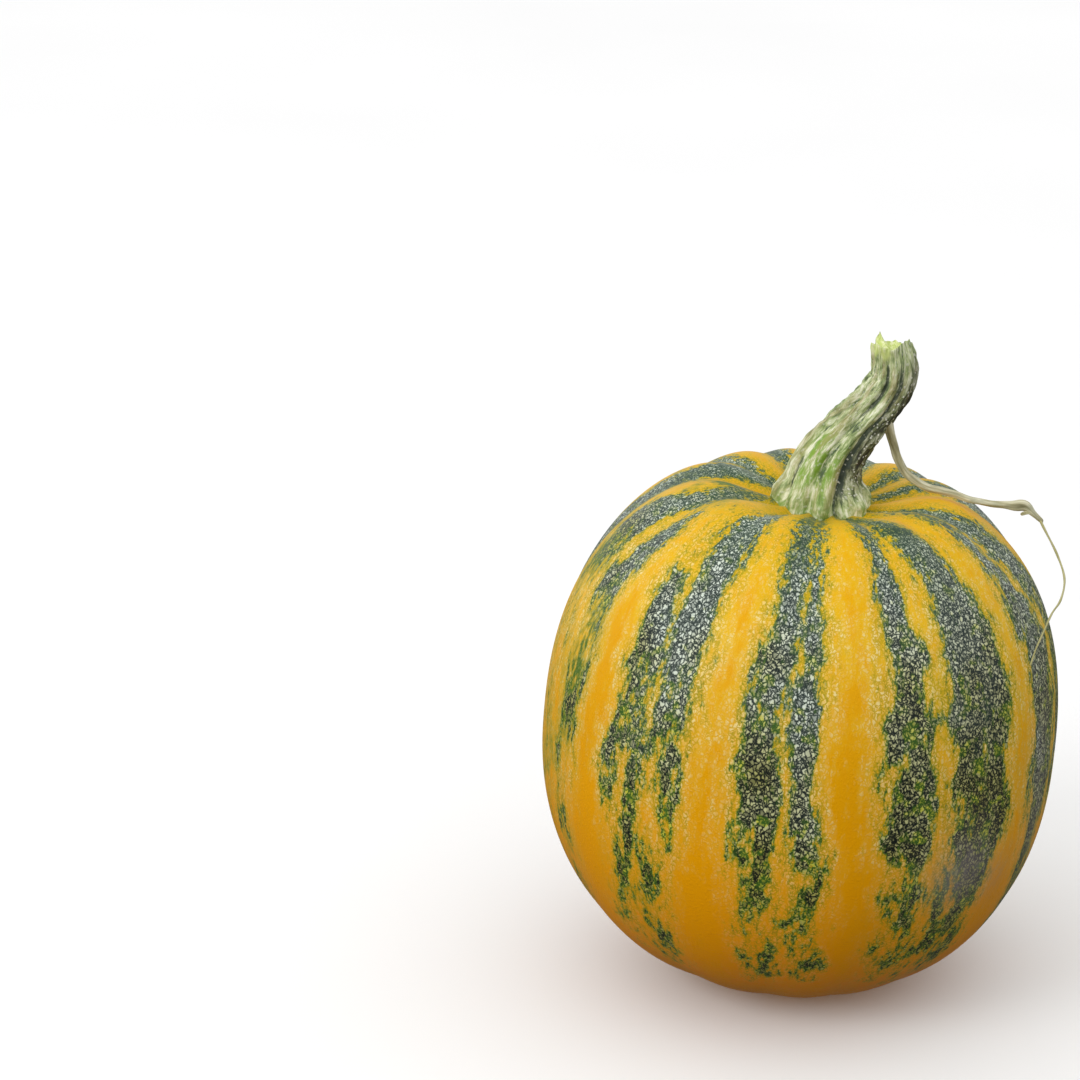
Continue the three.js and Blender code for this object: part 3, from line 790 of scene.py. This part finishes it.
def grow_stem():
    """The ridged stem, with bulging feet on the skin and a torn tip with a hollow of pith."""
    around, along = STEM_CELLS
    piece, turn_share, share_all = laid_grid("pumpkin_stem", around, along + TIP_ROWS)
    rows = np.round(share_all * (along + TIP_ROWS)).astype(int)
    wall = np.minimum(rows, along)
    inwards = np.clip((rows - along) / TIP_ROWS, 0, 1)
    share = wall / along
    turns = turn_share * 2 * np.pi
    turns[turn_share > 1 - 0.5 / around] = 0
    route, directions = evenly_along(stem_line(), along + 1)
    front = np.array([0, -1.0, 0])
    side = np.stack([directions[:, 2], 0 * directions[:, 0], -directions[:, 0]], axis=1)

    # Rounded ridges with narrow grooves between them, no two alike, wandering a little on the way up,
    # and knobs low down where each ridge ends on the skin.
    wander = 0.09 * np.sin(3 * turns + 1.0) + 0.05 * np.sin(5 * share * np.pi + turns)
    level = 1 - (1 - np.abs(np.cos(STEM_RIDGES / 2 * (turns + wander)))) ** 1.3
    unequal = 1 + 0.35 * np.sin(2 * turns + 0.7) + 0.25 * np.sin(5 * turns + 2.0)
    foot = np.exp(-share / STEM_TAPER)
    round_part = STEM_TIP_RADIUS + (STEM_FOOT_RADIUS - STEM_TIP_RADIUS) * foot
    depth = (RIDGE_DEPTH * 0.75 + FOOT_LOBE_DEPTH * foot) * unequal * (1 - 0.6 * smooth(0.88, 1, share))
    knob_level = np.exp(-((share - KNOB_SHARE) / KNOB_HALF_LENGTH) ** 2)
    knobs = KNOB_HEIGHT * knob_level * (0.4 + np.cos(STEM_RIDGES * (turns + wander)) * unequal)
    lumps = bumpiness(np.cos(turns) * 14, np.sin(turns) * 14, share * 34, 3.4)
    fine_lumps = bumpiness(np.cos(turns) * 14, np.sin(turns) * 14, share * 50 + 40, 1.5)
    radius = round_part + depth * (2 * level - 1.1) + knobs
    radius = radius + LUMP_HEIGHT * lumps + FINE_LUMP_HEIGHT * fine_lumps
    grooved = np.zeros_like(turns)
    for groove_turn, half_width, slant in MAIN_GROOVES:
        off = turns - math.radians(groove_turn) - slant * np.sin(3 * share + groove_turn) + np.pi
        off = off % (2 * np.pi) - np.pi
        grooved = np.maximum(grooved, np.exp(-(off / math.radians(half_width)) ** 2))
    grooved = grooved * smooth(0.04, 0.2, share) * smooth(0.98, 0.86, share)
    radius = radius - GROOVE_DEPTH * grooved

    # The torn tip: a pale lip at the left front, one splinter behind it and a shoulder at the right.
    around_turn = (turns + np.pi) % (2 * np.pi) - np.pi
    lip = np.exp(-((around_turn - LIP_TURN) / LIP_HALF_TURN) ** 2)
    shoulder = smooth(-0.25, 0.6, np.sin(turns - 0.1))
    tip_rise = SPLINTER_HEIGHT * np.exp(-((around_turn - SPLINTER_TURN) / SPLINTER_HALF_TURN) ** 2)
    collar = np.exp(-((around_turn - COLLAR_TURN) / COLLAR_HALF_TURN) ** 2)
    tip_rise = tip_rise + LIP_HEIGHT * lip + COLLAR_HEIGHT * collar * (1 - 0.5 * lip)
    tip_rise = tip_rise + 0.3 * MM * np.sin(7 * turns) + 0.16 * MM * np.sin(19 * turns + 1)
    near_tip = np.clip((share - TIP_SHARE) / (1 - TIP_SHARE), 0, 1)
    radius = radius + LIP_FLARE * lip * np.exp(-((1 - share) / 0.03) ** 2)
    radius = radius - SHOULDER_DROP * shoulder * near_tip ** 2.5
    rim = np.cos(inwards * np.pi / 2) ** 0.8
    hollow = HOLLOW_DEPTH * (1 - rim ** 3)
    ragged = bumpiness(rim * np.cos(turns) * 9, rim * np.sin(turns) * 9, 7 + 0 * turns, 2.0)
    ragged = TORN_UNEVENNESS * ragged
    rise = tip_rise * near_tip ** 1.5 * np.where(inwards > 0, rim ** 2, 1)
    rise = rise - (hollow + ragged * smooth(0, 0.3, inwards)) * (inwards > 0)
    reach = radius * np.where(inwards > 0, rim, 1)
    innermost = rows == along + TIP_ROWS
    reach[innermost] = 0
    rise[innermost] = -HOLLOW_DEPTH
    points = route[wall] + front * (reach * np.cos(turns))[:, None]
    points += side[wall] * (reach * np.sin(turns))[:, None] + directions[wall] * rise[:, None]
    points[rows == 0] = route[0]

    # What the bark's material reads: its own coordinates, ridges, painted shade on the right side, pith and
    # fresh green.
    note(piece, "fibre", np.stack([
        np.cos(turns) * BARK_RADIUS * rim,
        np.sin(turns) * BARK_RADIUS * rim,
        share * BARK_LENGTH - inwards * PITH_LENGTH,
    ], axis=1))
    soft_left = 0.45 * smooth(0.1, -0.7, np.sin(turns)) * (1 - 0.6 * smooth(0.5, 0.9, share))
    faded = 0.5 * smooth(0.88, 1, share)
    note(piece, "ridge", np.where(inwards > 0, 1, level - 0.7 * grooved + soft_left + faded))
    # Painted shade: the right side, away from the lamp, is darkened from a little above the foot, narrowing
    # and fading out at the tip.
    painted_shade_from = 0.05 + 0.36 * smooth(0.2, 0.9, share)
    painted_shade = smooth(painted_shade_from, painted_shade_from + 0.35, np.sin(turns)) * smooth(1.0, 0.86, share)
    painted_shade = painted_shade * smooth(0.1, 0.32, share)
    note(piece, "painted_shade", painted_shade)
    flesh = smooth(0.945, 0.975, share + 0.01 * np.sin(9 * turns)) * smooth(0.2, 0.55, lip)
    note(piece, "pith", np.where(inwards > 0, smooth(0, 0.25, inwards + 0.3 * lip), flesh))
    lush = smooth(0.45, 1, np.cos(turns + 0.55)) * np.exp(-((share - 0.3) / 0.2) ** 2)
    lush = np.maximum(lush, 0.8 * np.exp(-(share / 0.14) ** 2))
    note(piece, "lush", lush)
    return closed_up(piece, points, MERGE_DISTANCE)


def grow_tendril():
    """The dried tendril: an arm that leaves the stem, its knot with a stub, and a thin curling strand."""
    steps = 200
    route, directions = evenly_along(stem_line(), steps + 1)
    at = round(ARM_ROOT_SHARE * steps)
    outwards = np.array([directions[at][2], 0, -directions[at][0]])
    bark = stem_radius(np.array([ARM_ROOT_SHARE]), np.array([math.pi / 2]))[0]
    inside = route[at + round(ROOT_HIGHER * steps)] + outwards * (bark - ROOT_INSIDE)
    leaving = route[at + 1] + outwards * (bark + ROOT_OUTSIDE)
    arm_route = np.vstack([inside, leaving, over_skin(ARM_ROUTE)])

    def arm_radius(share, turns):
        root = (ROOT_RADIUS - ARM_RADIUS) * np.exp(-share / 0.1)
        knot = (KNOT_RADIUS - ARM_RADIUS) * np.exp(-((share - KNOT_SHARE) / KNOT_HALF_LENGTH) ** 2)
        thin = (ARM_RADIUS - NIB_RADIUS) * smooth(KNOT_SHARE, 1, share)
        twist = turns + 5 * share
        pinched = 1 + 0.13 * np.cos(2 * twist) + 0.07 * np.cos(5 * twist)
        pinched = pinched + 0.05 * np.sin(60 * share + turns)
        return (ARM_RADIUS + root + knot - thin) * pinched

    def strand_radius(share, turns):
        uneven = 1 + 0.12 * np.sin(40 * share) + 0.1 * np.cos(2 * turns)
        return STRAND_RADIUS * (1.15 - 0.45 * share) * uneven

    def stub_radius(share, turns):
        return STUB_RADIUS * (1.2 - 0.4 * share) * (1 + 0.15 * np.cos(3 * turns + 4 * share))

    front = (0, -1, 0)
    parts = [
        rod("pumpkin_tendril", arm_route, ARM_CELLS, arm_radius, front, cap=0.02),
        rod("strand", over_skin(STRAND_ROUTE), STRAND_CELLS, strand_radius, front, cap=0.01),
        rod("stub", over_skin(STUB_ROUTE), STUB_CELLS, stub_radius, front, cap=0.15),
    ]
    for part, thinness in zip(parts, (0.0, 1.0, 0.3)):
        note(part, "thin", np.full(len(part.data.vertices), thinness))
    bpy.ops.object.select_all(action="DESELECT")
    for part in parts:
        part.select_set(True)
    bpy.context.view_layer.objects.active = parts[0]
    bpy.ops.object.join()
    return parts[0]


fruit = grow_fruit()
stem = grow_stem()
tendril = grow_tendril()
for piece, node, slot, material in (
    (fruit, "fruit", "rind", pumpkin_rind()),
    (stem, "stem", "stem", stalk_fibre()),
    (tendril, "tendril", "tendril", dried_tendril()),
):
    piece.data.materials.clear()
    piece.data.materials.append(material)
    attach(piece, "root")
    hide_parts(node)


# ---------------------------------------------------------------- floor, light and camera

FLOOR_WIDTH = 30
LAMP_PLACE = (-2.0, -1.5, 1.6)
LAMP_WIDTH = 1.4
LAMP_WATTS = 22
# Up in the tent is this direction, so that its left side is a little brighter than its right side.
TENT_UP = (-0.1, 0, 1)

bpy.ops.object.select_all(action="DESELECT")
bpy.ops.mesh.primitive_plane_add(size=FLOOR_WIDTH, location=(0, 0, 0))
floor = bpy.context.object
floor.name = "floor"
floor.data.materials.append(white_paper())

low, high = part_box("fruit")
middle = Vector(((low.x + high.x) / 2, (low.y + high.y) / 2, (low.z + high.z) / 2))
bpy.ops.object.light_add(type="AREA", location=LAMP_PLACE)
lamp = bpy.context.object
lamp.name = "soft light from the left"
lamp.data.size = LAMP_WIDTH
lamp.data.energy = LAMP_WATTS
lamp.rotation_euler = (middle - Vector(LAMP_PLACE)).to_track_quat("-Z", "Y").to_euler()

# The tent is white above, and its light falls off quickly below the horizon.
world = bpy.data.worlds.new("white tent over a dim ground")
world.use_nodes = True
tent = world.node_tree
direction = add_node(tent, "TexCoord").outputs["Generated"]
height = add_node(tent, "VectorMath", {0: direction, 1: TENT_UP}, operation="DOT_PRODUCT").outputs["Value"]
overhead = add_node(tent, "MapRange", {"Value": height, "From Min": -0.16, "From Max": 0.08,
                                       "To Min": 0.12, "To Max": 1.0}, interpolation_type="SMOOTHSTEP")
tent.links.new(overhead.outputs[0], tent.nodes["Background"].inputs["Strength"])
tent.nodes["Background"].inputs["Color"].default_value = linear("#FFFFFF")
bpy.context.scene.world = world
# Light that bounces doesn't find the floor, so the underside keeps its depth.
floor.visible_diffuse = False
floor.visible_glossy = False
bpy.context.scene.view_settings.view_transform = "Standard"

# The camera looks down a little, and the fruit stands right of the middle of its view and below it.
DOWNWARD = math.radians(19.7)
FIELD_OF_VIEW = math.radians(15)
CAMERA_DISTANCE = 1.7657
FRUIT_RIGHT_OF_MIDDLE = 0.1113
FRUIT_BELOW_MIDDLE = 0.0825
forward = Vector((0, math.cos(DOWNWARD), -math.sin(DOWNWARD)))
upward = Vector((0, math.sin(DOWNWARD), math.cos(DOWNWARD)))
girth_middle = Vector((0, 0, GIRTH_LEVEL))
camera_place = (girth_middle - Vector((1, 0, 0)) * FRUIT_RIGHT_OF_MIDDLE
                + upward * FRUIT_BELOW_MIDDLE - forward * CAMERA_DISTANCE)
bpy.ops.object.camera_add(location=camera_place, rotation=(math.pi / 2 - DOWNWARD, 0, 0))
camera = bpy.context.object
camera.data.angle = FIELD_OF_VIEW
bpy.context.scene.camera = camera
